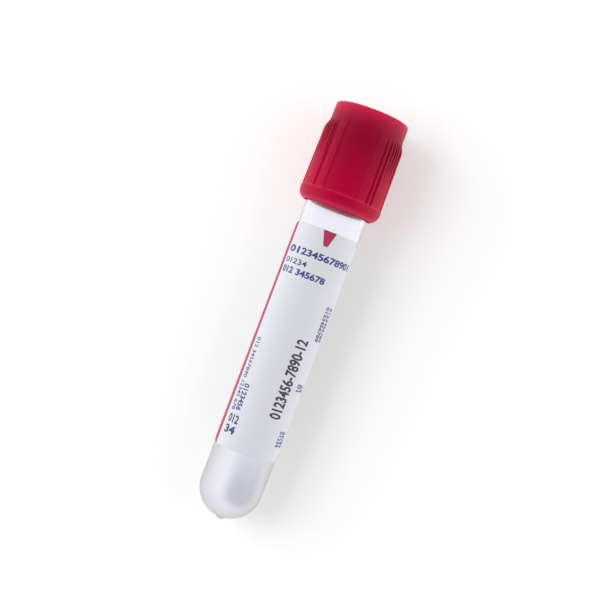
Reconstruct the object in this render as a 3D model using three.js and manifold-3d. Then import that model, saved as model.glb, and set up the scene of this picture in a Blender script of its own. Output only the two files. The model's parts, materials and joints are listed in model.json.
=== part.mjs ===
// Evacuated blood collection tube, nominal 13 x 75 mm, with its two-piece safety closure.
// Millimetres, +Z up. It lies on its side as it comes to rest: on the bead of the cap and on
// the round bottom, with the cap towards +X.
//
// The pieces are first made about their common axis, here the Z axis of the assembly: the pole
// of the round bottom is at z = 0 and the cap is on top. Angles round the axis are in degrees,
// and the angle 0 is the side that ends up on the table.

import * as THREE from 'three';
import { mergeVertices } from 'three/addons/utils/BufferGeometryUtils.js';
import Module from 'manifold-3d';

const wasm = await Module();
wasm.setup();

// ---------------------------------------------------------------- driving dimensions

// Tube
const TUBE_LENGTH = 75;
const TUBE_MOUTH_RADIUS = 6.42;
const TUBE_BOTTOM_RADIUS = 6.32; // of the round bottom, where the body's draft ends
const TUBE_MOUTH_WALL = 0.95;
const TUBE_BOTTOM_WALL = 1.0;
const TUBE_LIP_ROUND = 0.25;
const GATE_RADIUS = 0.8; // the stub left at the pole by the moulding gate
const GATE_HEIGHT = 0.3;

// Label, wrapped part of the way round
const LABEL_LENGTH = 46.2;
const LABEL_FROM_BOTTOM = 13.8; // its lower edge, above the pole
const LABEL_START = 96.5; // the edge with the stripe, halfway along
const LABEL_SPAN = 160;
const LABEL_SKEW = -3; // turn of its top against its bottom, as applied
const LABEL_CORNER = 1.6;
const LABEL_THICKNESS = 0.1;
const LABEL_ADHESIVE = 0.05;

// Stopper
const PLUG_LENGTH = 8.2;
const PLUG_DRAFT = 0.15;
const PLUG_END_ROUND = 0.6;
const PLUG_RECESS_RADIUS = 3;
const PLUG_RECESS_DEPTH = 5;
const FLANGE_THICKNESS = 2.8;
const FLANGE_OVERHANG = 0.2; // past the outside of the tube's mouth
const LIP_THICKNESS = 1.1;
const LIP_OVERHANG = 0.8; // past the bore of the shield's ring
const DIMPLE_RADIUS = 3.1; // where the needle goes in
const DIMPLE_DEPTH = 0.9;

// Shield, inside
const RING_BORE = 4.5; // the ring that the stopper's neck passes through
const RING_THICKNESS = 1.2;
const WELL_CLEARANCE = 0.4; // round the stopper's lip, where the needle goes in
const WELL_DEPTH = 4.05; // from the top of the shield to the stopper's lip
const SKIRT_OVERLAP = 10.3; // how far the skirt reaches down past the tube's mouth
const SKIRT_DRAFT = 0.2;

// Shield, outside
const BAND_WALL = 1.84; // round the well, the smooth band at the top
const BAND_HEIGHT = 3.5;
const SHOULDER_HEIGHT = 2.8;
const BODY_WALL = 1.34; // round the stopper's flange, at the top of the ribs
const BODY_DRAFT = 0.17; // how much wider the ribs are at the bead
const BEAD_HEIGHT = 2.7; // the rounded bead round the open end
const BEAD_PROUD = 0.07; // how far it stands out of the ribs
const BEAD_ROUND = 2.1;
const BEAD_LEDGE = 0.05; // its step where it starts
const TOP_ROUND = 0.6;
const WELL_EDGE_ROUND = 0.3;

// Grip pattern on the body, in repeats of one smooth panel and one cluster of ribs
const REPEATS = 3;
const PANEL_START = 30;
const PANEL_SPAN = 48;
const PANEL_DEPTH = 0.25;
const GROOVE_DEPTH = 0.45;
const DEEP_GROOVE_OFFSET = 8; // from the panel's far edge to the first groove's middle
const DEEP_GROOVE_WIDTH = 0.72;
const SECOND_GROOVE_OFFSET = 17.5;
const SECOND_GROOVE_WIDTH = 0.5;
const FINE_GROOVES = 4;
const FINE_GROOVE_OFFSET = 26;
const FINE_GROOVE_PITCH = 7;
const FINE_GROOVE_WIDTH = 0.42;
const FINE_GROOVE_RUN = 0.6; // share of the body's height in which a fine groove fades out

// Clearances
const SEAT = 0.3; // between faces that seat on each other along the axis
const FIT = 0.2; // between round faces, on the radius

// Facets
const SIDES = 36;
const EDGE_STEPS = 3; // in a small rounded edge
const ROUND_STEPS = 6; // in a quarter turn of a larger one
const DOME_STEPS = 10;

// ---------------------------------------------------------------- sizes that follow

const bottomCentre = TUBE_BOTTOM_RADIUS;
const boreMouthRadius = TUBE_MOUTH_RADIUS - TUBE_MOUTH_WALL;
const boreBottomRadius = TUBE_BOTTOM_RADIUS - TUBE_BOTTOM_WALL;

const flangeBottom = TUBE_LENGTH + SEAT;
const flangeTop = flangeBottom + FLANGE_THICKNESS;
const ringBottom = flangeTop + SEAT;
const ringTop = ringBottom + RING_THICKNESS;
const lipBottom = ringTop + SEAT;
const lipTop = lipBottom + LIP_THICKNESS;
const shieldTop = lipTop + WELL_DEPTH;
const shieldBottom = TUBE_LENGTH - SKIRT_OVERLAP;

const flangeRadius = TUBE_MOUTH_RADIUS + FLANGE_OVERHANG;
const neckRadius = RING_BORE - FIT;
const lipRadius = RING_BORE + LIP_OVERHANG;
const wellRadius = lipRadius + WELL_CLEARANCE;
const plugRadius = boreMouthRadius - FIT;
const pocketRadius = flangeRadius + FIT;
const skirtRadius = pocketRadius + SKIRT_DRAFT;

const bandRadius = wellRadius + BAND_WALL;
const landRadius = pocketRadius + BODY_WALL;
const grooveFloor = landRadius - GROOVE_DEPTH;
const landFootRadius = landRadius + BODY_DRAFT;
const beadRadius = landFootRadius + BEAD_PROUD;
const bandBottom = shieldTop - BAND_HEIGHT;
const bodyTop = bandBottom - SHOULDER_HEIGHT;
const beadTop = shieldBottom + BEAD_HEIGHT;
const beadCentreRadius = beadRadius - BEAD_ROUND;
const beadUnder = Math.acos(Math.max(0, (skirtRadius - beadCentreRadius) / BEAD_ROUND));
const beadCentre = shieldBottom + BEAD_ROUND * Math.sin(beadUnder);

// ---------------------------------------------------------------- helpers

const radians = THREE.MathUtils.degToRad;
const QUARTER = Math.PI / 2;

/** A corner of an outline. */
function corner(radius, height) {
  return new THREE.Vector2(radius, height);
}

/** A rounded stretch of an outline, about a centre, from one angle to another. */
function arc(radius, height, round, from, to, steps) {
  return new THREE.EllipseCurve(radius, height, round, round, from, to, to < from).getPoints(steps);
}

/**
 * Revolves an outline of (radius, height) points about the Z axis, with a flat side at angle 0.
 * The outline runs up the outside. It starts and ends on the axis, or is closed here.
 */
function revolve(outline) {
  const points = outline.filter((point, i) => i === 0 || point.distanceTo(outline[i - 1]) > 1e-6);
  if (points[0].x > 0) points.push(points[0].clone());
  return new THREE.LatheGeometry(points, SIDES, Math.PI / SIDES).rotateX(QUARTER);
}

/** An extruded outline that stands on z = bottom. */
function extrude(shape, bottom, height) {
  const options = { depth: height, bevelEnabled: false, curveSegments: ROUND_STEPS };
  return new THREE.ExtrudeGeometry(shape, options).translate(0, 0, bottom);
}

/** A closed geometry as a solid that can be joined and cut. */
function solid(geometry) {
  const bare = geometry.clone();
  bare.deleteAttribute('normal');
  bare.deleteAttribute('uv');
  const merged = mergeVertices(bare, 1e-5);
  return new wasm.Manifold(new wasm.Mesh({
    numProp: 3,
    vertProperties: new Float32Array(merged.attributes.position.array),
    triVerts: new Uint32Array(merged.index.array),
  }));
}

/** A joined or cut solid as a geometry. */
function fromSolid(manifold) {
  const mesh = manifold.getMesh();
  const geometry = new THREE.BufferGeometry();
  geometry.setAttribute('position', new THREE.BufferAttribute(mesh.vertProperties, 3));
  geometry.setIndex(new THREE.BufferAttribute(mesh.triVerts, 1));
  return geometry;
}

function piece(name, geometry, material) {
  const mesh = new THREE.Mesh(geometry, new THREE.MeshStandardMaterial(material));
  mesh.name = name;
  return mesh;
}

/** Outer radius of the tube's body at a height, between the round bottom and the mouth. */
function tubeRadiusAt(height) {
  const share = (height - bottomCentre) / (TUBE_LENGTH - bottomCentre);
  return THREE.MathUtils.lerp(TUBE_BOTTOM_RADIUS, TUBE_MOUTH_RADIUS, share);
}

// ---------------------------------------------------------------- tube

function tubeGeometry() {
  const gateAngle = Math.asin(GATE_RADIUS / TUBE_BOTTOM_RADIUS);
  const lip = TUBE_LENGTH - TUBE_LIP_ROUND;
  return revolve([
    corner(0, -GATE_HEIGHT),
    corner(GATE_RADIUS, -GATE_HEIGHT),
    ...arc(0, bottomCentre, TUBE_BOTTOM_RADIUS, gateAngle - QUARTER, 0, DOME_STEPS),
    ...arc(TUBE_MOUTH_RADIUS - TUBE_LIP_ROUND, lip, TUBE_LIP_ROUND, 0, QUARTER, EDGE_STEPS),
    ...arc(boreMouthRadius + TUBE_LIP_ROUND, lip, TUBE_LIP_ROUND, QUARTER, 2 * QUARTER, EDGE_STEPS),
    ...arc(0, bottomCentre, boreBottomRadius, 0, -QUARTER, DOME_STEPS),
  ]);
}

// ---------------------------------------------------------------- label

/**
 * A thin sheet with rounded corners, bent round the tube. It is built of columns that run along
 * the tube, closer together where the corners round off its ends.
 */
function labelGeometry() {
  const middle = LABEL_FROM_BOTTOM + LABEL_LENGTH / 2;
  const width = radians(LABEL_SPAN) * tubeRadiusAt(middle);
  const columns = [];
  for (let i = 0; i <= ROUND_STEPS; i += 1) {
    const turn = (i / ROUND_STEPS) * QUARTER;
    const along = LABEL_CORNER * (1 - Math.cos(turn));
    const inset = LABEL_CORNER * (1 - Math.sin(turn));
    columns.push({ along, inset });
  }
  const flatWidth = width - 2 * LABEL_CORNER;
  const flatSteps = 2 * Math.ceil((LABEL_SPAN / 360) * SIDES);
  const mirrored = columns.map(({ along, inset }) => ({ along: width - along, inset })).reverse();
  for (let i = 1; i < flatSteps; i += 1) {
    columns.push({ along: LABEL_CORNER + (i / flatSteps) * flatWidth, inset: 0 });
  }
  columns.push(...mirrored);

  const positions = [];
  for (const { along, inset } of columns) {
    for (const lift of [LABEL_ADHESIVE, LABEL_ADHESIVE + LABEL_THICKNESS]) {
      for (const side of [-1, 1]) {
        const height = middle + side * (LABEL_LENGTH / 2 - inset);
        const skew = LABEL_SKEW * ((height - middle) / LABEL_LENGTH);
        const angle = radians(LABEL_START + skew + (along / width) * LABEL_SPAN);
        const radius = tubeRadiusAt(height) + lift;
        positions.push(radius * Math.cos(angle), radius * Math.sin(angle), height);
      }
    }
  }
  // Corner numbers in a column: 0 inner low, 1 inner high, 2 outer low, 3 outer high. The inner
  // side is split along the same diagonals as the outer, so that the sheet is as thick all over.
  const faces = [];
  for (let i = 0; i + 1 < columns.length; i += 1) {
    for (const [from, to] of [[0, 2], [2, 3], [3, 1]]) {
      const a = 4 * i + from;
      const b = 4 * i + to;
      faces.push(a, a + 4, b + 4, a, b + 4, b);
    }
    const high = 4 * i + 1;
    const low = 4 * i;
    faces.push(high, high + 4, low, high + 4, low + 4, low);
  }
  const last = 4 * (columns.length - 1);
  faces.push(0, 2, 3, 0, 3, 1);
  faces.push(last, last + 3, last + 2, last, last + 1, last + 3);
  const geometry = new THREE.BufferGeometry();
  geometry.setAttribute('position', new THREE.Float32BufferAttribute(positions, 3));
  geometry.setIndex(faces);
  return geometry;
}

// ---------------------------------------------------------------- stopper

function stopperGeometry() {
  const plugEnd = TUBE_LENGTH - PLUG_LENGTH;
  const plugEndRadius = plugRadius - PLUG_DRAFT;
  const recessTop = plugEnd + PLUG_RECESS_DEPTH;
  const dimpleRound = (DIMPLE_RADIUS ** 2 + DIMPLE_DEPTH ** 2) / (2 * DIMPLE_DEPTH);
  const dimpleAngle = Math.asin(DIMPLE_RADIUS / dimpleRound);
  const dimpleCentre = lipTop - DIMPLE_DEPTH + dimpleRound;
  return revolve([
    ...arc(0, recessTop - PLUG_RECESS_RADIUS, PLUG_RECESS_RADIUS, QUARTER, 0, ROUND_STEPS),
    corner(PLUG_RECESS_RADIUS, plugEnd),
    ...arc(plugEndRadius - PLUG_END_ROUND, plugEnd + PLUG_END_ROUND, PLUG_END_ROUND, -QUARTER, 0,
      EDGE_STEPS),
    corner(plugRadius, flangeBottom),
    corner(flangeRadius, flangeBottom),
    corner(flangeRadius, flangeTop),
    corner(neckRadius, flangeTop),
    corner(neckRadius, lipBottom),
    corner(lipRadius, lipBottom),
    corner(lipRadius, lipTop),
    ...arc(0, dimpleCentre, dimpleRound, dimpleAngle - QUARTER, -QUARTER, ROUND_STEPS),
  ]);
}

// ---------------------------------------------------------------- shield

/** The cap without its grip pattern. */
function shieldBlank() {
  const shoulderMiddle = (bandBottom + bodyTop) / 2;
  const shoulder = new THREE.CubicBezierCurve(corner(landRadius, bodyTop),
    corner(landRadius, shoulderMiddle), corner(bandRadius, shoulderMiddle),
    corner(bandRadius, bandBottom));
  const topEdge = shieldTop - TOP_ROUND;
  const wellEdge = shieldTop - WELL_EDGE_ROUND;
  return revolve([
    corner(skirtRadius, shieldBottom),
    ...arc(beadCentreRadius, beadCentre, BEAD_ROUND, -beadUnder, 0, ROUND_STEPS),
    corner(landFootRadius + BEAD_LEDGE, beadTop - BEAD_LEDGE),
    corner(landFootRadius, beadTop),
    ...shoulder.getPoints(ROUND_STEPS),
    ...arc(bandRadius - TOP_ROUND, topEdge, TOP_ROUND, 0, QUARTER, EDGE_STEPS),
    ...arc(wellRadius + WELL_EDGE_ROUND, wellEdge, WELL_EDGE_ROUND, QUARTER, 2 * QUARTER, EDGE_STEPS),
    corner(wellRadius, ringTop),
    corner(RING_BORE, ringTop),
    corner(RING_BORE, ringBottom),
    corner(pocketRadius, ringBottom),
    corner(pocketRadius, flangeBottom),
  ]);
}

/** Widens a cutter towards the bead, as the body widens. */
function followDraft(geometry) {
  const position = geometry.attributes.position;
  for (let i = 0; i < position.count; i += 1) {
    const share = (bodyTop - position.getZ(i)) / (bodyTop - beadTop);
    const widening = 1 + (share * BODY_DRAFT) / landRadius;
    position.setX(i, position.getX(i) * widening);
    position.setY(i, position.getY(i) * widening);
  }
  return geometry;
}

/** What a smooth panel takes off the body, in place at the first repeat. */
function panelCutter() {
  const floor = landRadius - PANEL_DEPTH;
  const from = radians(PANEL_START);
  const to = radians(PANEL_START + PANEL_SPAN);
  const shape = new THREE.Shape();
  shape.absarc(0, 0, beadRadius + PANEL_DEPTH, from, to);
  shape.absarc(0, 0, floor, to, from, true);
  return followDraft(extrude(shape, beadTop, bandBottom - beadTop));
}

/** A full-length groove with sloped sides, on the +X side of the body. */
function grooveCutter(width) {
  const outside = beadRadius + GROOVE_DEPTH;
  const floorHalf = width / 4; // it is as wide as given at the top of the ribs
  const outsideHalf = floorHalf * (1 + (outside - grooveFloor) / GROOVE_DEPTH);
  const shape = new THREE.Shape();
  shape.moveTo(grooveFloor, -floorHalf);
  shape.lineTo(outside, -outsideHalf);
  shape.lineTo(outside, outsideHalf);
  shape.lineTo(grooveFloor, floorHalf);
  return followDraft(extrude(shape, beadTop, bandBottom - beadTop));
}

/** A fine groove on the +X side: full depth at the shoulder, fading out towards the bead. */
function fineGrooveCutter() {
  const fadeEnd = bodyTop - FINE_GROOVE_RUN * (bodyTop - beadTop);
  const outside = beadRadius + GROOVE_DEPTH;
  const shape = new THREE.Shape();
  shape.moveTo(grooveFloor, bandBottom);
  shape.lineTo(grooveFloor, bodyTop);
  shape.lineTo(landFootRadius, fadeEnd);
  shape.lineTo(outside, fadeEnd);
  shape.lineTo(outside, bandBottom);
  const geometry = new THREE.ExtrudeGeometry(shape, { depth: FINE_GROOVE_WIDTH, bevelEnabled: false });
  return geometry.translate(0, 0, -FINE_GROOVE_WIDTH / 2).rotateX(QUARTER);
}

function shieldGeometry() {
  const clusterStart = PANEL_START + PANEL_SPAN;
  const turned = (geometry, angle) => solid(geometry).rotate([0, 0, angle]);
  const oneRepeat = [
    solid(panelCutter()),
    turned(grooveCutter(DEEP_GROOVE_WIDTH), clusterStart + DEEP_GROOVE_OFFSET),
    turned(grooveCutter(SECOND_GROOVE_WIDTH), clusterStart + SECOND_GROOVE_OFFSET),
  ];
  for (let i = 0; i < FINE_GROOVES; i += 1) {
    const angle = clusterStart + FINE_GROOVE_OFFSET + i * FINE_GROOVE_PITCH;
    oneRepeat.push(turned(fineGrooveCutter(), angle));
  }
  let body = solid(shieldBlank());
  for (let repeat = 0; repeat < REPEATS; repeat += 1) {
    for (const cutter of oneRepeat) {
      body = body.subtract(cutter.rotate([0, 0, (360 / REPEATS) * repeat]));
    }
  }
  return fromSolid(body);
}

// ---------------------------------------------------------------- assembly

const assembly = new THREE.Group();
assembly.add(
  piece('tube', tubeGeometry(), {
    color: 0xe9e7f2, roughness: 0.08, metalness: 0, transparent: true, opacity: 0.35,
  }),
  piece('label', labelGeometry(), { color: 0xe2e3ea, roughness: 0.6, metalness: 0 }),
  piece('stopper', stopperGeometry(), { color: 0x8f0f24, roughness: 0.75, metalness: 0 }),
  piece('shield', shieldGeometry(), { color: 0xb00a2c, roughness: 0.42, metalness: 0 }),
);

/**
 * Slope of the axis when the bead and the round bottom both touch the table: the line that is
 * tangent to the bead's rounded section and to the round bottom.
 */
function restingSlope() {
  const flat = Math.cos(Math.PI / SIDES); // a flat side is this much nearer the axis
  const reach = beadCentreRadius * flat;
  const beadRound = BEAD_ROUND * flat;
  const bottomRound = TUBE_BOTTOM_RADIUS * flat;
  const between = beadCentre - bottomCentre;
  return Math.acos((bottomRound - beadRound) / Math.hypot(reach, between)) - Math.atan2(between, reach);
}

assembly.rotation.y = QUARTER - restingSlope();

const part = new THREE.Group();
part.add(assembly);
part.updateMatrixWorld(true);
const bounds = new THREE.Box3().setFromObject(part, true);
const centre = bounds.getCenter(new THREE.Vector3());
assembly.position.set(-centre.x, -centre.y, -bounds.min.z);
part.updateMatrixWorld(true);

export default part;
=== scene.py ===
"""Looks of a blood collection tube with its safety cap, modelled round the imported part."""

import json
from math import acos, asin, atan2, ceil, cos, pi, radians, sin, tan, tau

import bpy
from bpy.props import FloatProperty, FloatVectorProperty, IntProperty, PointerProperty
from bpy.types import Operator, Panel, PropertyGroup
from mathutils import Matrix, Vector


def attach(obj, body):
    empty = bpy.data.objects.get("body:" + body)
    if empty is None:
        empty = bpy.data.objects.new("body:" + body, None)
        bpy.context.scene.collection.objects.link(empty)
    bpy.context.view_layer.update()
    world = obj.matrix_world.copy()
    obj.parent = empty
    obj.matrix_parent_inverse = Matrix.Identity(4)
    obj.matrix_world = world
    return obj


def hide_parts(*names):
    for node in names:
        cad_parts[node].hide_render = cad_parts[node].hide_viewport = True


bl_info = {
    "name": "Blood collection tube",
    "version": (1, 0, 0),
    "blender": (4, 5, 0),
    "location": "View3D > Sidebar > Blood tube",
    "description": "Models a blood collection tube, its label and its two-piece cap",
    "category": "Object",
}

MM = 0.001
TOUCHING = 0.001 * MM  # points of a spun piece that are this near each other are one
FACET = radians(12)  # the most that one facet of a rounding turns
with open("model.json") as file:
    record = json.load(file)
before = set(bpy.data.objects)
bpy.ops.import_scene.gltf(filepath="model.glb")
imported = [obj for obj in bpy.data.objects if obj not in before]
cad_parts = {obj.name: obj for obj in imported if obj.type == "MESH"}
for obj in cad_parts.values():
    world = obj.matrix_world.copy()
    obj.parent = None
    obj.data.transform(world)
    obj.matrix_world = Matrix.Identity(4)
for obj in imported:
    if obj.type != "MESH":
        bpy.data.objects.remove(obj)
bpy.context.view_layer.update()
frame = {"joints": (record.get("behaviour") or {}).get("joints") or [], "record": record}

# The pieces are modelled about their common axis, with the pole of the round bottom at the
# origin, the cap on top and local +X on the side that ends up on the table. PLACE then lays
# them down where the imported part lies.
MOUTH = 75 * MM  # from the pole of the round bottom to the tube's mouth
OVERALL = 85.05 * MM  # from the pole to the flat top of the cap
axis = Vector(frame["joints"][0]["axis"]).normalized()
cap_top = Vector(frame["record"]["mounts"][0]["pos_m"])
cap_top.y = 0
pole = cap_top - axis * OVERALL
PLACE = Matrix.Translation(pole) @ Matrix.Rotation(atan2(axis.x, axis.z), 4, "Y")


# ------------------------------------------------------------------ sizes and colours


def size(name, millimetres, description):
    """A length that can be set, given here in millimetres."""
    return FloatProperty(name=name, description=description, default=millimetres * MM,
                         min=0, unit="LENGTH", subtype="DISTANCE", precision=5)


def turn(name, value, description):
    """An angle that can be set, given here in degrees."""
    return FloatProperty(name=name, description=description, default=radians(value),
                         unit="ROTATION", subtype="ANGLE")


def share(name, value, description):
    return FloatProperty(name=name, description=description, default=value, min=0, max=1,
                         subtype="FACTOR")


def amount(name, value, description):
    return FloatProperty(name=name, description=description, default=value, min=0)


def count(name, value, description):
    return IntProperty(name=name, description=description, default=value, min=1)


def colour(name, value, description):
    """A colour that can be set, given here as three sRGB shares of 255."""
    linear = tuple((c / 255 / 12.92) if c <= 10 else ((c / 255 + 0.055) / 1.055) ** 2.4
                   for c in value)
    return FloatVectorProperty(name=name, description=description, default=linear, size=3,
                               min=0, max=1, subtype="COLOR")


class TubeSizes(PropertyGroup):
    length: size("Length", MOUTH / MM, "From the pole of the round bottom to the mouth")
    mouth_radius: size("Mouth radius", 6.42, "Outside, at the mouth")
    bottom_radius: size("Bottom radius", 6.32, "Outside, where the round bottom starts")
    mouth_wall: size("Wall at mouth", 0.95, "Thickness of the wall at the mouth")
    bottom_wall: size("Wall at bottom", 1.0, "Thickness of the round bottom")
    lip_round: size("Lip rounding", 0.25, "Rounding of the mouth's edges")
    gate_radius: size("Gate radius", 0.8, "Stub left at the pole by moulding")
    gate_height: size("Gate height", 0.3, "How far the stub stands out")
    gate_round: size("Gate rounding", 0.22, "Of the stub's edge")
    # Painted shade on the round bottom, standing in for the floor's shadow seen through it: where
    # it is darkest.
    painted_shade_at: turn("Painted shade", 199, "Where it lies thickest, from the side on the table")
    sides: count("Sides", 144, "Facets round the tube")


class LabelSizes(PropertyGroup):
    length: size("Length", 46.2, "Along the tube")
    from_bottom: size("From bottom", 13.8, "From the pole to the lower edge")
    start: turn("Start", 96.5, "Angle of the striped edge, from the side on the table")
    span: turn("Span", 160, "How far round the tube it reaches")
    skew: turn("Skew", -3, "Turn of its top against its bottom")
    corner: size("Corner rounding", 1.6, "Rounding of its corners")
    thickness: size("Thickness", 0.1, "Of the sheet")
    adhesive: size("Adhesive", 0.05, "Between the tube and the sheet")
    ink: size("Ink", 0.008, "How far the print stands on the sheet")
    stripe: size("Stripe", 1.9, "Width of the coloured stripe along one edge")
    pointer_from: size("Pointer from", 8.5, "From the striped edge to the pointer")
    pointer_width: size("Pointer width", 2.65, "Of its wide end, at the label's top edge")
    pointer_tip: size("Pointer tip", 0.88, "Width of its blunt end")
    pointer_height: size("Pointer height", 3.05, "Along the tube")


class StopperSizes(PropertyGroup):
    plug_length: size("Plug length", 8.2, "How deep the plug reaches into the tube")
    plug_draft: size("Plug draft", 0.15, "How much narrower the plug is at its end")
    fit: size("Fit", 0.2, "Clearance round the plug and the neck")
    seat: size("Seat", 0.3, "Clearance between faces that seat on each other")
    recess_radius: size("Recess radius", 3, "Of the hollow in the plug's end")
    recess_depth: size("Recess depth", 5, "Of the hollow in the plug's end")
    recess_round: size("Recess rounding", 0.3, "Of the hollow's edge")
    plug_round: size("Plug rounding", 0.6, "Of the plug's end")
    flange: size("Flange", 2.8, "Thickness of the flange on the tube's mouth")
    flange_overhang: size("Flange overhang", 0.2, "Past the outside of the tube")
    flange_foot_round: size("Flange foot rounding", 0.25, "Of the flange's lower edge")
    flange_round: size("Flange rounding", 0.4, "Of the flange's upper edge")
    lip: size("Lip", 1.1, "Thickness of the lip over the shield's ring")
    lip_overhang: size("Lip overhang", 0.8, "Past the bore of the shield's ring")
    lip_foot_round: size("Lip foot rounding", 0.2, "Of the lip's lower edge")
    lip_round: size("Lip rounding", 0.4, "Of the lip's upper edge")
    crease_round: size("Crease rounding", 0.1, "Of the corners that run inwards")
    dimple_radius: size("Dimple radius", 3.1, "Where the needle goes in")
    dimple_depth: size("Dimple depth", 0.9, "Where the needle goes in")
    sides: count("Sides", 128, "Facets round the stopper")


class ShieldSizes(PropertyGroup):
    ring_bore: size("Ring bore", 4.5, "Radius of the ring that holds the stopper")
    ring: size("Ring", 1.2, "Thickness of that ring")
    ring_round: size("Ring rounding", 0.15, "Of the ring's edges and foot")
    pocket_round: size("Pocket rounding", 0.3, "Of the corner over the stopper's flange")
    well_clearance: size("Well clearance", 0.4, "Round the stopper's lip")
    overlap: size("Overlap", 10.3, "How far the skirt reaches down past the mouth")
    skirt_draft: size("Skirt draft", 0.2, "How much wider the skirt's bore is at its end")
    skirt_land: size("Skirt land", 1.5, "Straight part of the bore at its end")
    band_wall: size("Band wall", 1.84, "Of the smooth band round the well")
    band_height: size("Band height", 3.05, "Of the smooth band round the well")
    shoulder: size("Shoulder", 3.0, "Height of the shoulder under the band")
    body_wall: size("Body wall", 1.34, "Round the stopper's flange, at the top of the ribs")
    body_draft: size("Body draft", 0.17, "How much wider the ribs are at the bead")
    bead_height: size("Bead height", 2.7, "Of the rounded bead round the open end")
    bead_proud: size("Bead step", 0.07, "How far the bead stands out of the ribs")
    bead_round: size("Bead rounding", 2.1, "Of the bead's lower edge")
    ledge_drop: size("Ledge drop", 0.12, "How far the bead's step slopes")
    ledge_round: size("Ledge rounding", 0.08, "Of the bead's step")
    top_round: size("Top rounding", 0.6, "Outer edge of the flat top")
    well_round: size("Well rounding", 0.3, "Inner edge of the flat top")
    repeats: count("Repeats", 3, "Of the grip pattern")
    grip_radius: size("Grip radius", 8.2, "At which the pattern's widths are measured")
    grip_edge: size("Grip edge", 0.1, "Width over which the pattern's edges are eased")
    panel_start: turn("Panel start", 30.3, "First smooth panel, from the side on the table")
    panel_span: turn("Panel span", 50, "Of a smooth panel")
    panel_depth: size("Panel depth", 0.25, "Of a smooth panel")
    groove_depth: size("Groove depth", 0.3, "Of the grooves")
    lead_groove_at: turn("Lead groove", 14.2, "From the groove to the panel's near edge")
    lead_groove_width: size("Lead groove width", 1.3, "Of the groove before the panel")
    lead_groove_depth: size("Lead groove depth", 0.3, "Of the groove before the panel")
    deep_groove_at: turn("First groove", 14, "From the panel's edge to the groove")
    deep_groove_width: size("First groove width", 0.72, "Of the groove by the panel")
    second_groove_at: turn("Second groove", 22.5, "From the panel's edge to the groove")
    second_groove_width: size("Second groove width", 0.5, "Of the next groove")
    fine_grooves: count("Fine grooves", 4, "In each repeat")
    fine_groove_at: turn("Fine grooves from", 29.5, "From the panel's edge to the first")
    fine_groove_pitch: turn("Fine groove pitch", 6.5, "From one fine groove to the next")
    fine_groove_width: size("Fine groove width", 0.42, "Of each fine groove")
    fine_groove_run: share("Fine groove run", 0.6, "Share of the body in which they fade out")
    sides: count("Sides", 480, "Facets round the shield")


class Colours(PropertyGroup):
    plastic: colour("Clear plastic", (246, 246, 252), "Tint of the tube")
    coated: colour("Coated plastic", (251, 251, 255), "Tint towards the coated round bottom")
    # Painted shade on the round bottom: its tint where it is darkest, standing in for the floor's
    # shadow seen through the wall.
    painted_shade: colour("Painted shade", (185, 185, 199), "Tint where it is thickest")
    # Painted glow at the tube's open end, standing in for light that the wall leads there.
    mouth: colour("Mouth", (118, 118, 125), "Light that the wall leads to its open end")
    shadow: colour("Shadow", (160, 160, 164), "What each wall lets through of a lamp's light")
    paper: colour("Paper", (228, 228, 236), "Label sheet")
    stripe: colour("Stripe", (178, 30, 74), "Label stripe and pointer")
    blue: colour("Blue ink", (52, 56, 128), "Label print")
    black: colour("Black ink", (52, 52, 62), "Label print")
    rubber: colour("Rubber", (140, 18, 38), "Stopper")
    shield: colour("Shield", (184, 2, 55), "Cap plastic")
    # Painted shade: the shield's colour towards the top, over the stopper.
    shield_painted_shade: colour("Shield, deep", (150, 6, 44), "Cap plastic over the stopper")
    # Painted highlight: the shield's colour round the open well and along the bead's step.
    shield_lit: colour("Shield, lit", (212, 42, 82), "Cap plastic round the open well")
    # Painted glow of the skirt's edge and inside, standing in for light through the plastic and
    # from the floor.
    shield_painted_glow: colour("Shield, lit through", (104, 34, 56), "Light through the skirt")


class Stage(PropertyGroup):
    distance: size("Camera distance", 250, "From the camera to the tube's axis")
    lens: FloatProperty(name="Lens", description="Focal length", default=75.8 * MM, min=0,
                        unit="CAMERA")
    roll: turn("Camera roll", 20.85, "How far the tube leans to the right in the view")
    look_at: size("Look at", 45.6, "Point of the tube in the middle of the view")
    aside: size("Aside", 0.46, "How far the tube is right of the middle of the view")
    key: amount("Key light", 0.36, "Share of white that it gives the floor")
    fill: amount("Fill light", 0.22, "Share of white that it gives the floor")
    zenith: amount("Zenith", 0.2, "Strength of the surroundings overhead")
    horizon: amount("Horizon", 1.6, "Strength of the surroundings low down")
    lamp_size: size("Lamp size", 500, "Side of each square lamp")
    floor_pale: share("Floor, pale", 0.9, "Share of the light that the floor sends back")
    floor_glow: amount("Floor glow", 0.12, "Light of the floor itself")
    floor_seen: amount("Floor, seen", 0.11, "What the floor adds where the camera sees it")
    floor_through: amount("Floor, through", 0.9, "What it adds through clear plastic")
    floor_even: share("Floor, even", 0.9, "How little its shadows show through clear plastic")


class BloodTube(PropertyGroup):
    tube: PointerProperty(type=TubeSizes)
    label: PointerProperty(type=LabelSizes)
    stopper: PointerProperty(type=StopperSizes)
    shield: PointerProperty(type=ShieldSizes)
    colours: PointerProperty(type=Colours)
    stage: PointerProperty(type=Stage)


# ------------------------------------------------------------------ materials


class Value:
    """A node's output that takes Python's arithmetic: each operator adds a Math node."""

    def __init__(self, finish, socket):
        self.finish = finish
        self.socket = socket

    def math(self, operation, *others):
        return self.finish.node("Math", [self, *others], operation=operation)

    def __add__(self, other):
        return self.math("ADD", other)

    def __sub__(self, other):
        return self.math("SUBTRACT", other)

    def __rsub__(self, other):
        return self.finish.node("Math", [other, self], operation="SUBTRACT")

    def __mul__(self, other):
        return self.math("MULTIPLY", other)

    def __truediv__(self, other):
        return self.math("DIVIDE", other)

    __radd__ = __add__
    __rmul__ = __mul__

    def clamped(self):
        return self.finish.node("Clamp", [self])


def ramp(value, start, end):
    """0 where the value is at start, 1 where it is at end and straight between them."""
    return ((value - start) / (end - start)).clamped()


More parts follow.
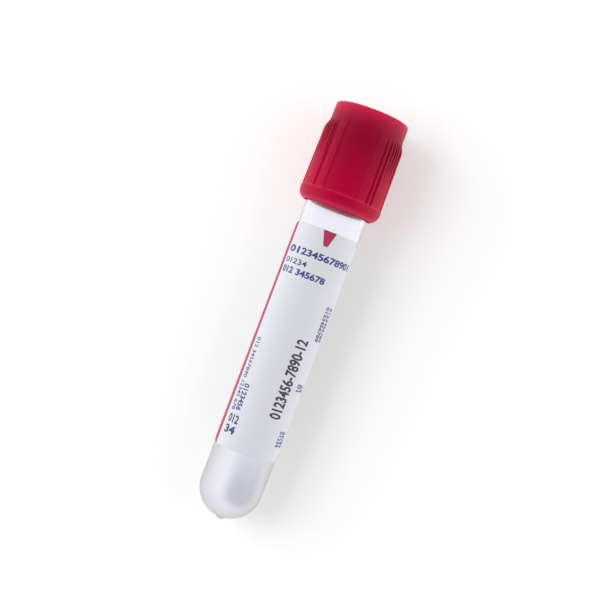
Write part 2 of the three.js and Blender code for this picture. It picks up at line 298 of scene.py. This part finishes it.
class Finish:
    """A material built round one Principled shader, or the nodes of an owner such as a world."""

    def __init__(self, name, owner=None, **surface):
        self.material = owner or bpy.data.materials.new(name)
        self.material.use_nodes = True
        self.tree = self.material.node_tree
        self.shader = self.tree.nodes.get("Principled BSDF")
        self.surface(**surface)

    def node(self, kind, inputs=(), output=0, **settings):
        """Adds a node: its settings first, then its inputs by number or name."""
        made = self.tree.nodes.new("ShaderNode" + kind)
        for name, value in settings.items():
            setattr(made, name, value)
        for name, value in inputs.items() if isinstance(inputs, dict) else enumerate(inputs):
            self.feed(made.inputs[name], value)
        return Value(self, made.outputs[output])

    def feed(self, socket, value):
        if isinstance(value, Value):
            self.tree.links.new(value.socket, socket)
        elif socket.type == "RGBA" and len(value) == 3:
            socket.default_value = (*value, 1)
        else:
            socket.default_value = value

    def surface(self, **inputs):
        """Sets inputs of the Principled shader, such as base_color or roughness."""
        for name, value in inputs.items():
            words = name.replace("_", " ").title().replace("Ior", "IOR")
            self.feed(self.shader.inputs[words], value)

    def place(self):
        """Object coordinates of the laid-down piece, turned back to the tube's own axis."""
        back = PLACE.inverted()
        spot = self.node("TexCoord", output="Object")
        return self.node("Mapping", {"Vector": spot, "Location": back.translation,
                                     "Rotation": back.to_euler()})

    def noise(self, where, per_mm, detail=2, roughness=0.5):
        return self.node("TexNoise", {"Vector": where, "Scale": per_mm / MM, "Detail": detail,
                                      "Roughness": roughness})

    def height(self, where):
        """How far along the tube's axis a place lies from the pole."""
        return self.node("SeparateXYZ", [where], output="Z")

    def light_path(self, kind):
        """1 for a ray of the kind asked for, such as Camera or Glossy, and 0 for others."""
        return self.node("LightPath", output="Is " + kind + " Ray")

    def blend(self, factor, one, other):
        """Mixes two colours. A Mix node has its colours in sockets 6 and 7."""
        return self.node("Mix", {0: factor, 6: one, 7: other}, output=2, data_type="RGBA")

    def bump(self, height, depth_mm, strength=1.0):
        relief = self.node("Bump", {"Height": height, "Distance": depth_mm * MM,
                                    "Strength": strength})
        self.surface(normal=relief)


def clear_plastic(colours, tube):
    finish = Finish("clear_plastic", ior=1.57, transmission_weight=1.0)
    where = finish.place()
    haze = finish.noise(where, 0.35, detail=3)
    height = finish.height(where)
    # The wall is hazy round the bottom and goes over into clear, unevenly.
    uneven = (haze - 0.5) * (16 * MM)
    clear = ramp(height + uneven, 8 * MM, 48 * MM)
    # Painted shade: the wall is darkened along one side, low down, and less so upwards. It stands
    # in for the floor's shadow seen through the round bottom.
    side = (cos(tube.painted_shade_at), sin(tube.painted_shade_at), 0)
    towards = finish.node("VectorMath", [where, side], output="Value",
                          operation="DOT_PRODUCT") / tube.bottom_radius
    along_side = ramp(towards + haze * 0.08, 0.85, 0.99)
    over_pole = ramp(height, 1.5 * MM, 4.5 * MM)
    fading_upwards = ramp(height, 23 * MM, 7 * MM)
    painted_shade = along_side * over_pole * fading_upwards
    wall = finish.blend(clear, colours.coated, colours.plastic)
    # Painted light: the wall's open end glows, standing in for the light that the wall leads to
    # it, so it is never as dark as it would be without.
    painted_glow_at_mouth = ramp(height, MOUTH - 0.4 * MM, MOUTH - 0.1 * MM)
    finish.surface(base_color=finish.blend(painted_shade, wall, colours.painted_shade),
                   emission_color=finish.blend(painted_glow_at_mouth, (0, 0, 0), colours.mouth),
                   emission_strength=1.0,
                   roughness=haze * 0.1 + 0.3 - clear * 0.24)
    # Lamps shine through, so that the tube's shadow is as light as clear plastic's.
    see_through = finish.node("BsdfTransparent", [colours.shadow])
    plastic = Value(finish, finish.shader.outputs["BSDF"])
    both = finish.node("MixShader", [finish.light_path("Shadow"), plastic, see_through])
    output = finish.tree.nodes["Material Output"]
    finish.feed(output.inputs["Surface"], both)
    return finish.material


def paper(colours):
    finish = Finish("label_paper", specular_ior_level=0.4)
    where = finish.place()
    fibres = finish.noise(where, 9, detail=4, roughness=0.65)
    cloud = finish.noise(where, 0.5, detail=2)
    dim = tuple(c * 0.93 for c in colours.paper)
    finish.surface(base_color=finish.blend(fibres * 0.6 + cloud * 0.4, dim, colours.paper),
                   roughness=fibres * 0.12 + 0.42)
    finish.bump(fibres, 0.006, 0.6)
    return finish.material


def ink(colours, name):
    finish = Finish(name + "_ink", specular_ior_level=0.4)
    where = finish.place()
    grain = finish.noise(where, 14, detail=3)
    full = getattr(colours, name)
    thin = tuple(c * 0.75 + 0.25 * p for c, p in zip(full, colours.paper))
    finish.surface(base_color=finish.blend((grain - 0.35).clamped(), full, thin),
                   roughness=grain * 0.12 + 0.4)
    return finish.material


def rubber(colours):
    finish = Finish("stopper_rubber", specular_ior_level=0.35)
    where = finish.place()
    grain = finish.noise(where, 6, detail=4, roughness=0.6)
    dust = finish.noise(where, 0.8, detail=3)
    pale = tuple(c * 0.8 + 0.05 for c in colours.rubber)
    finish.surface(base_color=finish.blend((dust - 0.4).clamped(), colours.rubber, pale),
                   roughness=grain * 0.2 + 0.6)
    finish.bump(grain, 0.02, 0.5)
    return finish.material


def shield_plastic(colours, skirt, rim, ledge):
    """skirt is the radius of the bore at the open edge, rim the height of that edge and ledge
    the height of the bead's step."""
    finish = Finish("shield_plastic", specular_ior_level=0.15, ior=1.5,
                    subsurface_weight=0.25, subsurface_radius=(1.0, 0.12, 0.1),
                    subsurface_scale=1.2 * MM)
    where = finish.place()
    cloud = finish.noise(where, 0.22, detail=2)
    grain = finish.noise(where, 5, detail=3, roughness=0.6)
    # Painted shade: the plastic is brighter low down over the clear tube and deeper towards the
    # top over the dark stopper, standing in for light that comes more from below. The shader's
    # subsurface makes it a little translucent.
    height = finish.height(where)
    uneven = (cloud - 0.5) * (3 * MM)
    over_tube = ramp(height - uneven, MOUTH + 4 * MM, MOUTH - 6 * MM)
    # Painted highlight: lighter round the open well at the top and along the bead's step.
    round_well = ramp(height, OVERALL - 5 * MM, OVERALL)
    off_ledge = (height - ledge).math("ABSOLUTE")
    on_ledge = ramp(off_ledge, 0.32 * MM, 0) * 0.8
    lit = (round_well * round_well + on_ledge).clamped()
    body = finish.blend(over_tube, colours.shield_painted_shade, colours.shield)
    # Painted light: the skirt's edge and its inside glow, standing in for light that comes
    # through the skirt and up from the white floor, so they aren't as dark as they would be.
    across = finish.node("VectorMath", [where, (1, 1, 0)], operation="MULTIPLY")
    radius = finish.node("VectorMath", [across], output="Value", operation="LENGTH")
    inside = ramp(radius, skirt + 0.25 * MM, skirt + 0.05 * MM)
    low_down = ramp(height, rim + 6 * MM, rim + 3 * MM)
    at_edge = ramp(height, rim + 0.9 * MM, rim)
    through = (inside * low_down + at_edge).clamped()
    finish.surface(base_color=finish.blend(lit, body, colours.shield_lit),
                   emission_color=finish.blend(through, (0, 0, 0), colours.shield_painted_glow),
                   emission_strength=1.0,
                   roughness=grain * 0.1 + cloud * 0.08 + 0.3)
    finish.bump(grain, 0.008, 0.5)
    return finish.material


# ------------------------------------------------------------------ modelling by hand


def deselect():
    if bpy.context.mode != "OBJECT":
        bpy.ops.object.mode_set(mode="OBJECT")
    bpy.ops.object.select_all(action="DESELECT")


def only(piece):
    """Selects one piece and makes it the active one."""
    deselect()
    piece.select_set(True)
    bpy.context.view_layer.objects.active = piece
    return piece


def named(name):
    piece = bpy.context.active_object
    piece.name = piece.data.name = name
    return piece


def rounded(corners):
    """Points of an outline from corners (radius, height) or (radius, height, rounding). The
    first and the last corner stay sharp."""
    points = []
    last = len(corners) - 1
    for i, (x, y, *rounding) in enumerate(corners):
        here = Vector((x, y))
        if not rounding or not rounding[0] or i in (0, last):
            points.append(here)
            continue
        before = (Vector(corners[i - 1][:2]) - here).normalized()
        after = (Vector(corners[i + 1][:2]) - here).normalized()
        half = before.angle(after) / 2
        middle = here + (before + after).normalized() * rounding[0] / sin(half)
        start = here + before * rounding[0] / tan(half) - middle
        bend = pi - 2 * half
        way = 1 if before.x * after.y - before.y * after.x < 0 else -1
        steps = max(2, ceil(bend / FACET))
        for k in range(steps + 1):
            turned = Matrix.Rotation(way * bend * k / steps, 2) @ start
            points.append(middle + turned)
    return points


def arc(radius, height, rounding, start, end, steps):
    """Points of an arc about (radius, height), between two angles."""
    angles = [start + (end - start) * k / steps for k in range(steps + 1)]
    return [Vector((radius + rounding * cos(a), height + rounding * sin(a))) for a in angles]


def held(outline, reach=0.15 * MM):
    """Adds a point near each end of a long straight stretch, which keeps its shading straight."""
    points = [outline[0]]
    for here, there in zip(outline, outline[1:]):
        step = there - here
        if step.length > 4 * reach:
            points += [here + step.normalized() * reach, there - step.normalized() * reach]
        points.append(there)
    return points


def close_up(piece, nearest):
    """Merges the points that are nearer than this and turns all faces outwards."""
    only(piece)
    bpy.ops.object.mode_set(mode="EDIT")
    bpy.ops.mesh.select_all(action="SELECT")
    bpy.ops.mesh.remove_doubles(threshold=nearest)
    bpy.ops.mesh.normals_make_consistent(inside=False)
    bpy.ops.object.mode_set(mode="OBJECT")


def spun(name, outline, sides, closed=False):
    """Draws an outline of (radius, height) points from one vertex and spins it."""
    path = [here for i, here in enumerate(outline)
            if i == 0 or (here - outline[i - 1]).length > TOUCHING]
    if closed:
        path.append(path[0])
    path = held(path)
    deselect()
    bpy.ops.mesh.primitive_plane_add(size=MM)
    piece = named(name)
    bpy.ops.object.mode_set(mode="EDIT")
    bpy.ops.mesh.merge(type="CENTER")
    bpy.ops.transform.translate(value=(path[0].x, 0, path[0].y))
    for here, there in zip(path, path[1:]):
        step = there - here
        bpy.ops.mesh.extrude_region_move(
            TRANSFORM_OT_translate={"value": (step.x, 0, step.y)})
    bpy.ops.mesh.select_all(action="SELECT")
    bpy.ops.mesh.spin(steps=sides, angle=tau, center=(0, 0, 0), axis=(0, 0, 1))
    close_up(piece, TOUCHING)
    return piece


def pick(piece, wanted):
    """Opens a piece in edit mode with the points selected whose place is wanted."""
    only(piece)
    bpy.ops.object.mode_set(mode="EDIT")
    bpy.ops.mesh.select_all(action="DESELECT")
    bpy.ops.object.mode_set(mode="OBJECT")
    for vertex in piece.data.vertices:
        vertex.select = wanted(vertex.co)
    bpy.ops.object.mode_set(mode="EDIT")


def rectangle(name, left, right, low, high):
    """A flat sheet at its place."""
    deselect()
    bpy.ops.mesh.primitive_plane_add(size=1)
    sheet = named(name)
    bpy.ops.object.mode_set(mode="EDIT")
    bpy.ops.transform.resize(value=(right - left, high - low, 1))
    bpy.ops.transform.translate(value=((left + right) / 2, (low + high) / 2, 0))
    bpy.ops.object.mode_set(mode="OBJECT")
    return sheet


def round_corners(sheet, corner, wanted):
    """Rounds the corners of a flat sheet whose place is wanted."""
    pick(sheet, wanted)
    bpy.ops.mesh.bevel(offset=corner, segments=8, affect="VERTICES")
    bpy.ops.object.mode_set(mode="OBJECT")


def apply_modifier(piece, kind, **settings):
    only(piece)
    modifier = piece.modifiers.new(kind.title(), kind)
    for name, value in settings.items():
        setattr(modifier, name, value)
    bpy.ops.object.modifier_apply(modifier=modifier.name)


def done(piece, material, body, slot, *nodes, sharp=30):
    """Lays a finished piece down in its place and hands it over to its body."""
    piece.matrix_world = PLACE
    only(piece)
    bpy.ops.object.transform_apply(location=True, rotation=True, scale=True)
    bpy.ops.object.shade_smooth_by_angle(angle=radians(sharp))
    piece.data.materials.clear()
    piece.data.materials.append(material)
    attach(piece, body)
    if nodes:
        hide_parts(*nodes)


# ------------------------------------------------------------------ tube

DOME_STEPS = 28  # facets from the pole to the side of the round bottom


def tube_radius(tube, height):
    """Outer radius of the tube's body at a height."""
    rise = (height - tube.bottom_radius) / (tube.length - tube.bottom_radius)
    return tube.bottom_radius + (tube.mouth_radius - tube.bottom_radius) * rise


class BLOODTUBE_OT_tube(Operator):
    """Spin the clear round-bottomed tube"""

    bl_idname = "blood_tube.tube"
    bl_label = "Tube"

    def execute(self, context):
        tube = context.scene.blood_tube.tube
        bottom = tube.bottom_radius
        bore_bottom = bottom - tube.bottom_wall
        bore_mouth = tube.mouth_radius - tube.mouth_wall
        # The stub's foot flares out to a quarter more than its radius.
        gate_foot = asin(tube.gate_radius * 1.25 / bottom)
        lip = tube.length
        outline = [
            *rounded([(0, -tube.gate_height),
                      (tube.gate_radius, -tube.gate_height, tube.gate_round),
                      (tube.gate_radius, 0)])[:-1],
            *arc(0, bottom, bottom, gate_foot - pi / 2, 0, DOME_STEPS),
            *rounded([(bottom, bottom), (tube.mouth_radius, lip, tube.lip_round),
                      (bore_mouth, lip, tube.lip_round), (bore_bottom, bottom)])[1:-1],
            *arc(0, bottom, bore_bottom, 0, -pi / 2, DOME_STEPS),
        ]
        piece = spun("tube_wall", outline, tube.sides)
        colours = context.scene.blood_tube.colours
        done(piece, clear_plastic(colours, tube), "tube_body", "clear_plastic", "tube")
        return {"FINISHED"}


# ------------------------------------------------------------------ label

STRIP = 0.3 * MM  # width of the flat strips that the label and its print bend in


def label_width(tube, label):
    """Width of the sheet laid flat."""
    return label.span * tube_radius(tube, label.from_bottom + label.length / 2)


def wrap(piece, tube, label):
    """Wraps a flat piece round the tube: x goes round it from the striped edge, y up along it
    from the label's lower edge, and z out of it."""
    width = label_width(tube, label)
    for vertex in piece.data.vertices:
        x, y, z = vertex.co
        angle = label.start + label.skew * (y / label.length - 0.5) + label.span * x / width
        height = label.from_bottom + y
        radius = tube_radius(tube, height) + label.adhesive + z
        vertex.co = (radius * cos(angle), radius * sin(angle), height)


def cut_strips(piece, spacing):
    """Cuts a flat piece into narrow strips, so that it can bend round the tube."""
    low = min(v.co.x for v in piece.data.vertices)
    high = max(v.co.x for v in piece.data.vertices)
    only(piece)
    bpy.ops.object.mode_set(mode="EDIT")
    for k in range(ceil(low / spacing), int(high / spacing) + 1):
        bpy.ops.mesh.select_all(action="SELECT")
        bpy.ops.mesh.bisect(plane_co=(k * spacing, 0, 0), plane_no=(1, 0, 0))
    bpy.ops.object.mode_set(mode="OBJECT")


def stick(settings, piece, material, thickness, *nodes, lift=0.0):
    """Gives a flat piece its thickness, wraps it round the tube and hands it over. lift is how
    far it lies over the sheet's underside."""
    cut_strips(piece, STRIP)
    apply_modifier(piece, "SOLIDIFY", thickness=thickness, offset=1)
    for vertex in piece.data.vertices:
        vertex.co.z += lift
    wrap(piece, settings.tube, settings.label)
    # Print is only micrometres thick, and its two faces mustn't merge.
    close_up(piece, TOUCHING / 10)
    done(piece, material, "tube_body", "label_paper", *nodes)


def stick_print(settings, piece, shade):
    """Sticks a piece of print in its ink on the sheet."""
    label = settings.label
    stick(settings, piece, ink(settings.colours, shade), label.ink, lift=label.thickness)


class BLOODTUBE_OT_label(Operator):
    """Cut the label's sheet and wrap it round the tube"""

    bl_idname = "blood_tube.label"
    bl_label = "Label"

    def execute(self, context):
        settings = context.scene.blood_tube
        label = settings.label
        width = label_width(settings.tube, label)
        sheet = rectangle("label_sheet", 0, width, 0, label.length)
        round_corners(sheet, label.corner, lambda place: True)
        stick(settings, sheet, paper(settings.colours), label.thickness, "label")
        return {"FINISHED"}


class BLOODTUBE_OT_stripe(Operator):
    """Print the coloured stripe and the pointer at the label's top edge"""

    bl_idname = "blood_tube.stripe"
    bl_label = "Label stripe"

    def execute(self, context):
        settings = context.scene.blood_tube
        label = settings.label
        top = label.length
        stripe = rectangle("label_stripe", 0, label.stripe, 0, top)
        round_corners(stripe, label.corner, lambda place: place.x < label.stripe / 2)

        left = label.pointer_from
        tip = top - label.pointer_height
        pointer = rectangle("pointer", left, left + label.pointer_width, tip, top)
        pick(pointer, lambda place: place.y < (tip + top) / 2)
        middle = left + label.pointer_width / 2
        bpy.ops.transform.resize(value=(label.pointer_tip / label.pointer_width, 1, 1),
                                 center_override=(middle, tip, 0))
        bpy.ops.object.mode_set(mode="OBJECT")
        only(stripe)
        pointer.select_set(True)
        bpy.ops.object.join()
        stick_print(settings, stripe, "stripe")
        return {"FINISHED"}


# Each line of print: its digits, the colour of its ink, where its lower left corner is and its
# box, as it is read (millimetres), which way it is read (degrees) and how bold it is.
PRINT = [
    ("01", "blue", 2.55, 40.15, 2.65, 1.45, 0, 0.035),
    ("2345678901", "blue", 5.7, 40.15, 11.3, 1.45, 0, 0.035),
    ("01234", "blue", 2.55, 38.0, 5.2, 1.1, 0, 0.015),
    ("012", "blue", 2.55, 36.0, 2.85, 1.35, 0, 0.035),
    ("345678", "blue", 6.1, 36.0, 6.05, 1.35, 0, 0.035),
    ("0123456789", "blue", 14.8, 32.4, 7.15, 1.05, -90, 0.03),
    ("0123456789", "blue", 16.05, 32.4, 7.15, 1.05, -90, 0.03),
    ("01", "blue", 14.9, 16.4, 1.55, 1.05, -90, 0.03),
    ("23", "blue", 16.1, 16.4, 1.55, 1.05, -90, 0.03),
    ("01234", "blue", 14.9, 6.55, 3.3, 1.05, -90, 0.03),
    ("56789", "blue", 16.1, 6.55, 3.3, 1.05, -90, 0.03),
    ("012 34567890 12345 678", "blue", 2.8, 22.3, 15.0, 1.05, -90, 0.015),
    ("0123456", "blue", 4.1, 13.0, 5.5, 1.3, -90, 0.03),
    ("012", "blue", 3.1, 4.85, 2.7, 1.75, 0, 0.035),
    ("34", "blue", 3.1, 2.7, 2.7, 1.65, 0, 0.035),
    ("0123456-7890-12", "black", 13.6, 8.5, 16.3, 2.55, 90, 0.03),
]


def digits(words, x, y, width, height, reading, bold):
    """One line of digits as a flat mesh, fitted into its box. Its lower left corner, as it is
    read, is at (x, y)."""
    deselect()
    bpy.ops.object.text_add()
    line = bpy.context.active_object
    line.data.body = words
    line.data.size = 1
    line.data.offset = bold
    line.data.resolution_u = 4
    bpy.ops.object.convert(target="MESH")
    line = bpy.context.active_object
    xs = [v.co.x for v in line.data.vertices]
    ys = [v.co.y for v in line.data.vertices]
    stretch = Matrix.Diagonal((width * MM / (max(xs) - min(xs)),
                               height * MM / (max(ys) - min(ys)), 1, 1))
    start = Matrix.Translation((-min(xs), -min(ys), 0))
    place = Matrix.Translation((x * MM, y * MM, 0)) @ Matrix.Rotation(radians(reading), 4, "Z")
    line.matrix_world = place @ stretch @ start
    only(line)
    bpy.ops.object.transform_apply(location=True, rotation=True, scale=True)
    return line


class BLOODTUBE_OT_print(Operator):
    """Print the label's lines of plain digits in both inks"""

    bl_idname = "blood_tube.print"
    bl_label = "Label print"

    def execute(self, context):
        for shade in ("blue", "black"):
            lines = [digits(words, *box) for words, used, *box in PRINT if used == shade]
            only(lines[0])
            for line in lines:
                line.select_set(True)
            if len(lines) > 1:
                bpy.ops.object.join()
            stick_print(context.scene.blood_tube, named("label_" + shade + "_print"), shade)
        return {"FINISHED"}


# ------------------------------------------------------------------ stopper

RECESS_STEPS = 14  # facets of the hollow's round top
DIMPLE_STEPS = 12  # facets from the dimple's edge to its middle


class BLOODTUBE_OT_stopper(Operator):
    """Spin the rubber stopper with its plug, flange, neck and needle dimple"""

    bl_idname = "blood_tube.stopper"
    bl_label = "Stopper"

    def execute(self, context):
        settings = context.scene.blood_tube
        tube, stopper, shield = settings.tube, settings.stopper, settings.shield
        plug_end = tube.length - stopper.plug_length
        plug = tube.mouth_radius - tube.mouth_wall - stopper.fit
        flange_bottom = tube.length + stopper.seat
        flange_top = flange_bottom + stopper.flange
        flange = tube.mouth_radius + stopper.flange_overhang
        neck = shield.ring_bore - stopper.fit
        lip_bottom = flange_top + shield.ring + 2 * stopper.seat
        lip_top = lip_bottom + stopper.lip
        lip = shield.ring_bore + stopper.lip_overhang
        depth = stopper.dimple_depth
        dimple = (stopper.dimple_radius ** 2 + depth ** 2) / (2 * depth)
        recess = stopper.recess_radius
        recess_top = plug_end + stopper.recess_depth
        crease = stopper.crease_round
        outline = [
            *arc(0, recess_top - recess, recess, pi / 2, 0, RECESS_STEPS),
            *rounded([
                (recess, recess_top - recess),
                (recess, plug_end, stopper.recess_round),
                (plug - stopper.plug_draft, plug_end, stopper.plug_round),
                (plug, flange_bottom, crease),
                (flange, flange_bottom, stopper.flange_foot_round),
                (flange, flange_top, stopper.flange_round),
                (neck, flange_top, crease),
                (neck, lip_bottom, crease),
                (lip, lip_bottom, stopper.lip_foot_round),
                (lip, lip_top, stopper.lip_round),
                (stopper.dimple_radius, lip_top),
            ])[1:],
            *arc(0, lip_top - depth + dimple, dimple,
                 asin(stopper.dimple_radius / dimple) - pi / 2, -pi / 2, DIMPLE_STEPS),
        ]
        piece = spun("stopper_rubber", outline, stopper.sides)
        done(piece, rubber(settings.colours), "closure", "red_rubber", "stopper")
        return {"FINISHED"}


# ------------------------------------------------------------------ shield

BEAD_STEPS = 16  # facets of the bead's rounding
SHOULDER_STEPS = 24  # facets up the shoulder
BODY_STEPS = 32  # rows up the ribs, which the grip pattern is pressed into
GRIP_CORE = 6 * MM  # radius towards which the pattern is pressed in


def eased(value):
    """0 below 0, 1 above 1 and a smooth step between."""
    value = min(max(value, 0), 1)
    return value * value * (3 - 2 * value)


def grip_depth(shield, angle, rise):
    """How deep the grip pattern is cut at an angle round the shield. rise is 0 at the top of
    the bead and 1 at the top of the ribs."""
    repeat = tau / shield.repeats
    around = (angle - shield.panel_start) % repeat
    reach = shield.grip_radius
    edge = shield.grip_edge
    inside = min(around, shield.panel_span - around) * reach
    if around > shield.panel_span + (repeat - shield.panel_span) / 2:
        inside = (around - repeat) * reach
    panel = shield.panel_depth * eased(0.5 + inside / (2 * edge))

    def groove(place, width, deep):
        """place is an angle from the panel's far edge, and a slope takes a third of width."""
        off = abs(around - shield.panel_span - place) * reach
        return deep * eased((width / 2 + edge / 2 - off) / (width / 3))

    full = shield.groove_depth
    fade = min(max((rise - 1 + shield.fine_groove_run) / shield.fine_groove_run, 0), 1)
    return max(
        panel,
        groove(repeat - shield.panel_span - shield.lead_groove_at,
               shield.lead_groove_width, shield.lead_groove_depth),
        groove(shield.deep_groove_at, shield.deep_groove_width, full),
        groove(shield.second_groove_at, shield.second_groove_width, full),
        *(groove(shield.fine_groove_at + k * shield.fine_groove_pitch,
                 shield.fine_groove_width, full * fade) for k in range(shield.fine_grooves)))


def shoulder_curve(foot, top):
    """Points of the S-shaped shoulder between two (radius, height) points, both included."""
    half = (foot[1] + top[1]) / 2
    ends = [Vector(end) for end in (foot, (foot[0], half), (top[0], half), top)]
    points = []
    for k in range(SHOULDER_STEPS + 1):
        t = k / SHOULDER_STEPS
        weights = ((1 - t) ** 3, 3 * t * (1 - t) ** 2, 3 * t * t * (1 - t), t ** 3)
        points.append(sum((end * w for w, end in zip(weights, ends)), Vector((0, 0))))
    return points


class BLOODTUBE_OT_shield(Operator):
    """Spin the safety shield and press its grip pattern in"""

    bl_idname = "blood_tube.shield"
    bl_label = "Shield"

    def execute(self, context):
        settings = context.scene.blood_tube
        tube, stopper, shield = settings.tube, settings.stopper, settings.shield
        bottom = tube.length - shield.overlap
        bead_top = bottom + shield.bead_height
        band_bottom = OVERALL - shield.band_height
        body_top = band_bottom - shield.shoulder
        flange = tube.mouth_radius + stopper.flange_overhang
        pocket = flange + stopper.fit
        ring_bottom = tube.length + 2 * stopper.seat + stopper.flange
        ring_top = ring_bottom + shield.ring
        well = shield.ring_bore + stopper.lip_overhang + shield.well_clearance
        band = well + shield.band_wall
        land = pocket + shield.body_wall
        foot = land + shield.body_draft
        bead = foot + shield.bead_proud
        skirt = pocket + shield.skirt_draft

        centre = bead - shield.bead_round
        turned_in = acos(max((skirt - centre) / shield.bead_round, 0))
        rise = bottom + shield.bead_round * sin(turned_in)
        body_foot = Vector((foot, bead_top))
        body_land = Vector((land, body_top))
        outline = [
            Vector((skirt, bottom + shield.skirt_land)),
            *arc(centre, rise, shield.bead_round, -turned_in, 0, BEAD_STEPS),
            *rounded([(bead, rise), (bead, bead_top - shield.ledge_drop, shield.ledge_round),
                      (foot, bead_top)])[1:-1],
            *(body_foot.lerp(body_land, k / BODY_STEPS) for k in range(BODY_STEPS)),
            *shoulder_curve((land, body_top), (band, band_bottom)),
            *rounded([
                (band, band_bottom),
                (band, OVERALL, shield.top_round),
                (well, OVERALL, shield.well_round),
                (well, ring_top, shield.ring_round),
                (shield.ring_bore, ring_top, shield.ring_round),
                (shield.ring_bore, ring_bottom, shield.ring_round),
                (pocket, ring_bottom, shield.pocket_round),
                (pocket, tube.length + stopper.seat),
            ])[1:],
        ]
        piece = spun("shield_shell", outline, shield.sides, closed=True)

        # Each point that the pattern moves gets a weight, by which Cast then draws it inwards.
        outside = (skirt + band) / 2
        grip = piece.vertex_groups.new(name="grip")
        for vertex in piece.data.vertices:
            x, y, height = vertex.co
            radius = Vector((x, y)).length
            if not bead_top - TOUCHING <= height <= band_bottom or radius < outside:
                continue
            rise = (height - bead_top) / (body_top - bead_top)
            depth = grip_depth(shield, atan2(y, x), rise)
            if height > body_top:
                # The pattern runs out on the shoulder.
                drop = depth * (1 - eased((height - body_top) / shield.shoulder))
            else:
                drop = radius - (foot + (land - foot) * rise) + depth
            if drop > 0:
                grip.add([vertex.index], drop / (radius - GRIP_CORE), "REPLACE")
        apply_modifier(piece, "CAST", cast_type="CYLINDER", use_z=False, factor=1,
                       size=GRIP_CORE, use_radius_as_size=False, vertex_group="grip")
        plastic = shield_plastic(settings.colours, skirt, bottom, bead_top)
        done(piece, plastic, "closure", "red_plastic", "shield", sharp=40)
        return {"FINISHED"}


# ------------------------------------------------------------------ stage

# Where each lamp stands, in metres from the tube: along the view's right, up and towards the
# camera. The fill lamp throws no shadow.
KEY_PLACE = (-0.45, 0.2, 0.42)
FILL_PLACE = (0.5, -0.1, 0.35)
FLOOR_SIZE = 4  # metres
FLOOR_GAP = 0.05 * MM  # between the floor and the tube on it


def lamp(name, aim, away, wide, level, shadow):
    """A square lamp that gives the floor where it aims that share of white. away is its way
    from there."""
    deselect()
    bpy.ops.object.light_add(type="AREA", location=aim + away)
    light = named(name)
    slope = away.normalized().z
    light.data.shape = "SQUARE"
    light.data.size = wide
    light.data.energy = level * pi * pi * away.length_squared / slope
    light.data.use_shadow = shadow
    light.visible_glossy = False
    light.visible_transmission = False
    light.rotation_euler = (-away).to_track_quat("-Z", "Y").to_euler()


def pale_floor(stage):
    finish = Finish("floor", roughness=0.9, specular_ior_level=0.0)
    seen = finish.light_path("Camera")
    through = finish.light_path("Transmission")
    # Far from the tube, where the lamps don't reach, the floor goes over into white.
    spot = finish.node("TexCoord", output="Object")
    away = finish.node("VectorMath", [spot], output="Value", operation="LENGTH")
    far = ramp(away, 0.2, 0.5)
    pale = (stage.floor_pale,) * 3
    finish.surface(base_color=finish.blend(through * stage.floor_even, pale, (0, 0, 0)),
                   emission_color=(1, 1, 1),
                   emission_strength=seen * (far + stage.floor_seen)
                   + through * stage.floor_through + stage.floor_glow)
    return finish.material


def surroundings(stage, world):
    """White where they are seen, and brighter low down than overhead where they light."""
    sky = Finish("sky", owner=world)
    seen = (sky.light_path("Camera") + sky.light_path("Transmission")).clamped()
    matt = 1 - sky.light_path("Glossy")
    towards = sky.node("TexCoord", output="Generated")
    low = (1 - sky.node("SeparateXYZ", [towards], output="Z")).clamped()
    ambient = low * low * (stage.horizon - stage.zenith) + matt * stage.zenith
    background = sky.tree.nodes["Background"]
    sky.feed(background.inputs["Color"], (1, 1, 1))
    sky.feed(background.inputs["Strength"], ambient + seen * (1 - ambient))


class BLOODTUBE_OT_stage(Operator):
    """Set up the pale floor, the soft lamps and the camera"""

    bl_idname = "blood_tube.stage"
    bl_label = "Stage"

    def execute(self, context):
        scene = context.scene
        stage = scene.blood_tube.stage
        scene.view_settings.view_transform = "Standard"

        deselect()
        bpy.ops.mesh.primitive_plane_add(size=FLOOR_SIZE, location=(0, 0, -FLOOR_GAP))
        floor = named("floor")
        floor.data.materials.append(pale_floor(stage))

        scene.world = scene.world or bpy.data.worlds.new("World")
        surroundings(stage, scene.world)

        centre = pole + axis * stage.look_at
        # In the view the tube leans to the right: right and up as the camera has them.
        across = Vector((0, -1, 0))
        lean = stage.roll
        up = axis * cos(lean) - across * sin(lean)
        right = axis * sin(lean) + across * cos(lean)
        back = right.cross(up)
        view = Matrix((right, up, back)).transposed().to_4x4()
        place = centre - across * stage.aside + back * stage.distance
        deselect()
        bpy.ops.object.camera_add()
        camera = named("camera")
        camera.matrix_world = Matrix.Translation(place) @ view
        camera.data.sensor_width = 36
        camera.data.lens = stage.lens / MM
        camera.data.clip_start = 10 * MM
        scene.camera = camera

        lamp("key", centre, view @ Vector(KEY_PLACE), stage.lamp_size, stage.key, True)
        lamp("fill", centre, view @ Vector(FILL_PLACE), stage.lamp_size, stage.fill, False)
        return {"FINISHED"}


# ------------------------------------------------------------------ add-on


OPERATORS = (
    BLOODTUBE_OT_tube,
    BLOODTUBE_OT_label,
    BLOODTUBE_OT_stripe,
    BLOODTUBE_OT_print,
    BLOODTUBE_OT_stopper,
    BLOODTUBE_OT_shield,
    BLOODTUBE_OT_stage,
)


class BLOODTUBE_PT_panel(Panel):
    bl_label = "Blood tube"
    bl_idname = "BLOODTUBE_PT_panel"
    bl_space_type = "VIEW_3D"
    bl_region_type = "UI"
    bl_category = "Blood tube"

    def draw(self, context):
        for operator in OPERATORS:
            self.layout.operator(operator.bl_idname)


CLASSES = (TubeSizes, LabelSizes, StopperSizes, ShieldSizes, Colours, Stage, BloodTube,
           *OPERATORS, BLOODTUBE_PT_panel)


def register():
    for each in CLASSES:
        bpy.utils.register_class(each)
    bpy.types.Scene.blood_tube = PointerProperty(type=BloodTube)


def unregister():
    del bpy.types.Scene.blood_tube
    for each in reversed(CLASSES):
        bpy.utils.unregister_class(each)


def main():
    register()
    for operator in OPERATORS:
        group, name = operator.bl_idname.split(".")
        getattr(getattr(bpy.ops, group), name)()


if __name__ == "__main__":
    main()
